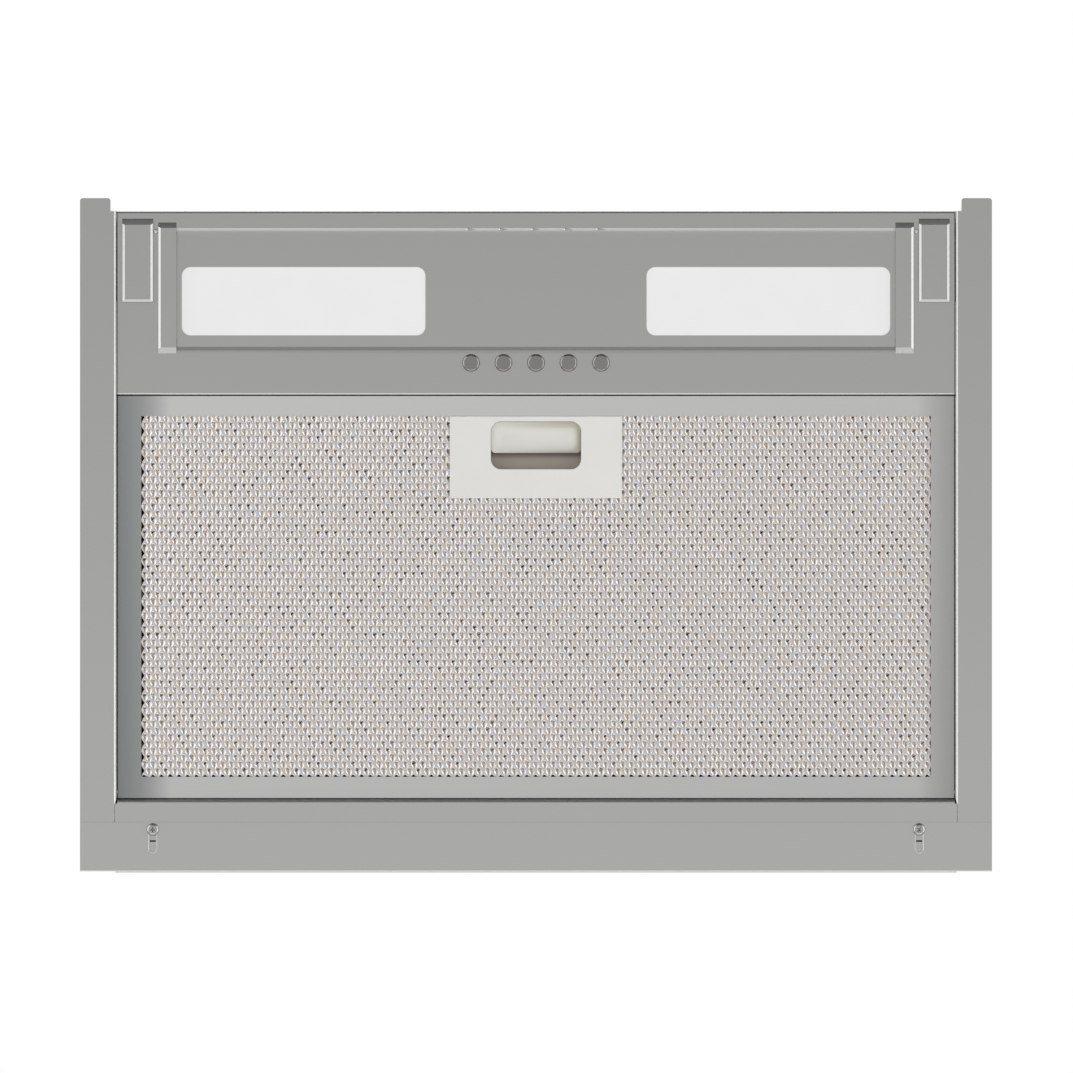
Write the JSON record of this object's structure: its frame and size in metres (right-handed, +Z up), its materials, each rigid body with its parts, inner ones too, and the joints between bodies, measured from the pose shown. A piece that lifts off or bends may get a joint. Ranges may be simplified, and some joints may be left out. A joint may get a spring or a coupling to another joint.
{
  "type": "range hood insert",
  "caption": "Built-in range hood insert: steel canopy with side flanges, lamps, push buttons, a tilting mesh grease filter with a latch handle, a boxed blower and a duct collar with flaps.",
  "frame": {"origin": "centre of the flange plane: the upper faces of the two side flanges, which seat under the cabinet, lie at z = 0", "axes": "+Z up as installed, along the push into the cabinet; -Y towards the cook (lamps and buttons); +X to the right as seen from below with the front at the top"},
  "size_m": [0.53, 0.392, 0.3029],
  "materials": {
    "brushed_stainless": "satin brushed stainless sheet",
    "galvanised_steel": "zinc-coated sheet, dull",
    "zinc_steel": "bright zinc plate",
    "filter_aluminium": "mill-finish aluminium",
    "handle_plastic": "off-white moulded plastic",
    "button_plastic": "grey metallised plastic, satin",
    "lamp_diffuser": "opal diffuser sheet",
    "white_plastic": "white moulded plastic",
    "circuit_board": "white solder-masked board",
    "black_plastic": "black moulded plastic",
    "terminal_plastic": "natural nylon",
    "black_rubber": "soft black rubber",
    "motor_enamel": "dark enamelled can",
    "capacitor_can": "drawn aluminium can"
  },
  "bodies": {
    "chassis": {"left_side_rail": "brushed_stainless", "right_side_rail": "brushed_stainless", "front_panel": "brushed_stainless", "rear_wall": "brushed_stainless", "left_end_strip": "brushed_stainless", "right_end_strip": "brushed_stainless", "left_corner_bracket": "brushed_stainless", "right_corner_bracket": "brushed_stainless", "canopy_top": "galvanised_steel", "inlet_guard": "galvanised_steel", "box_wrap": "galvanised_steel", "left_box_cover": "galvanised_steel", "right_box_cover": "galvanised_steel", "scroll_wrap": "galvanised_steel", "left_scroll_cheek": "galvanised_steel", "right_scroll_cheek": "galvanised_steel", "motor_plate": "galvanised_steel", "spacer_screws": "zinc_steel", "clip_nuts": "zinc_steel", "canopy_screws": "zinc_steel", "box_screws": "zinc_steel", "collar_screws": "zinc_steel", "panel_rivets": "zinc_steel", "flap_pins": "zinc_steel", "left_lamp_lens": "lamp_diffuser", "right_lamp_lens": "lamp_diffuser", "left_lamp_housing": "white_plastic", "right_lamp_housing": "white_plastic", "led_driver": "white_plastic", "switch_block": "white_plastic", "left_led_board": "circuit_board", "right_led_board": "circuit_board", "duct_collar": "black_plastic", "terminal_base": "black_plastic", "terminal_lid": "black_plastic", "cable_gland": "black_plastic", "terminal_block": "terminal_plastic", "motor_grommets": "black_rubber", "motor": "motor_enamel", "run_capacitor": "capacitor_can"},
    "filter": {"filter_frame": "filter_aluminium", "filter_face_mesh": "filter_aluminium", "filter_core": "filter_aluminium", "filter_back_mesh": "filter_aluminium", "filter_handle": "handle_plastic", "filter_pivots": "zinc_steel"},
    "latch": {"filter_latch": "handle_plastic"},
    "spacer": {"spacer_strip": "brushed_stainless"},
    "rotor": {"impeller": "black_plastic", "motor_shaft": "zinc_steel"},
    "flap_front": {"front_flap": "black_plastic"},
    "flap_rear": {"rear_flap": "black_plastic"},
    "button_1": {"button_1": "button_plastic"},
    "button_2": {"button_2": "button_plastic"},
    "button_3": {"button_3": "button_plastic"},
    "button_4": {"button_4": "button_plastic"},
    "button_5": {"button_5": "button_plastic"}
  },
  "joints": [
    {"name": "button_1_press", "type": "slide", "parent": "chassis", "child": "button_1", "axis": [0, 0, 1], "range_m": [0, 0.002], "stiffness_N_per_m": 400},
    {"name": "button_2_press", "type": "slide", "parent": "chassis", "child": "button_2", "axis": [0, 0, 1], "range_m": [0, 0.002], "stiffness_N_per_m": 400},
    {"name": "button_3_press", "type": "slide", "parent": "chassis", "child": "button_3", "axis": [0, 0, 1], "range_m": [0, 0.002], "stiffness_N_per_m": 400},
    {"name": "button_4_press", "type": "slide", "parent": "chassis", "child": "button_4", "axis": [0, 0, 1], "range_m": [0, 0.002], "stiffness_N_per_m": 400},
    {"name": "button_5_press", "type": "slide", "parent": "chassis", "child": "button_5", "axis": [0, 0, 1], "range_m": [0, 0.002], "stiffness_N_per_m": 400},
    {"name": "filter_tilt", "type": "hinge", "parent": "chassis", "child": "filter", "pos_m": [0, 0.1495, 0.0115], "axis": [1, 0, 0], "range_deg": [0, 75]},
    {"name": "latch_slide", "type": "slide", "parent": "filter", "child": "latch", "axis": [0, 1, 0], "range_m": [0, 0.006], "stiffness_N_per_m": 300},
    {"name": "spacer_slide", "type": "slide", "parent": "chassis", "child": "spacer", "axis": [0, -1, 0], "range_m": [0, 0.008]},
    {"name": "impeller_spin", "type": "hinge", "parent": "chassis", "child": "rotor", "pos_m": [0, -0.02, 0.1708], "axis": [1, 0, 0], "continuous": true},
    {"name": "front_flap_lift", "type": "hinge", "parent": "chassis", "child": "flap_front", "pos_m": [0, 0.02542, 0.25885], "axis": [-1, 0, 0], "range_deg": [0, 75]},
    {"name": "rear_flap_lift", "type": "hinge", "parent": "chassis", "child": "flap_rear", "pos_m": [0, 0.03158, 0.25885], "axis": [1, 0, 0], "range_deg": [0, 75]}
  ]
}
